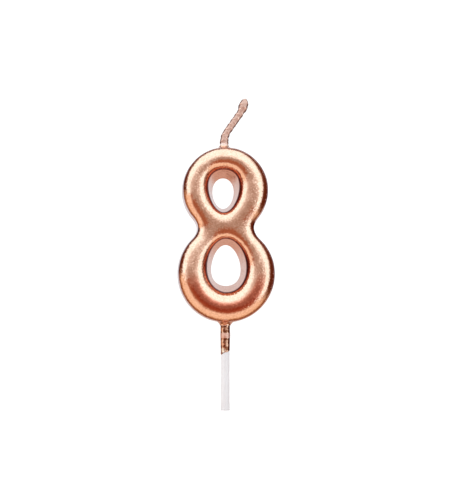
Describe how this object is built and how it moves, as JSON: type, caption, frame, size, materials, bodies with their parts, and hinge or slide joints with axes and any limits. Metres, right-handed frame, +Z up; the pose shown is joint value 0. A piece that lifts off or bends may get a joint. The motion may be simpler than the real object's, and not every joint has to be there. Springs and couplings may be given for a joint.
{
  "type": "number birthday candle",
  "caption": "Figure-eight birthday candle: puffed wax numeral with a metallic coat, a bent plaited wick and a slim hollow stick below.",
  "frame": {"origin": "centre of the flat lower end of the stick, the end pushed into the cake", "axes": "+X to the reader's right, +Y away from the reader towards the figure's flat back, +Z up along the stick to the wick; the puffed face is on the -Y side"},
  "size_m": [0.0274, 0.0089, 0.0868],
  "materials": {
    "wax": "pale pink candle wax",
    "rose_gold_coat": "glossy rose gold metallic lacquer with fine sparkle",
    "stick_plastic": "white, slightly translucent",
    "wick_cotton": "plain cotton soaked with wax",
    "coated_wick": "cotton plait stiffened with wax and metallic lacquer"
  },
  "bodies": {
    "candle": {"wax_body": "wax", "body_coat": "rose_gold_coat", "stick": "stick_plastic", "stick_coat": "rose_gold_coat", "wick_core": "wick_cotton"},
    "wick": {"wick_strand_a": "coated_wick", "wick_strand_b": "coated_wick", "wick_strand_c": "coated_wick"}
  },
  "joints": [
    {"name": "wick_bend", "type": "hinge", "parent": "candle", "child": "wick", "pos_m": [-0.0003, 0, 0.0742], "axis": [0, 1, 0], "range_deg": [-45, 30]}
  ]
}
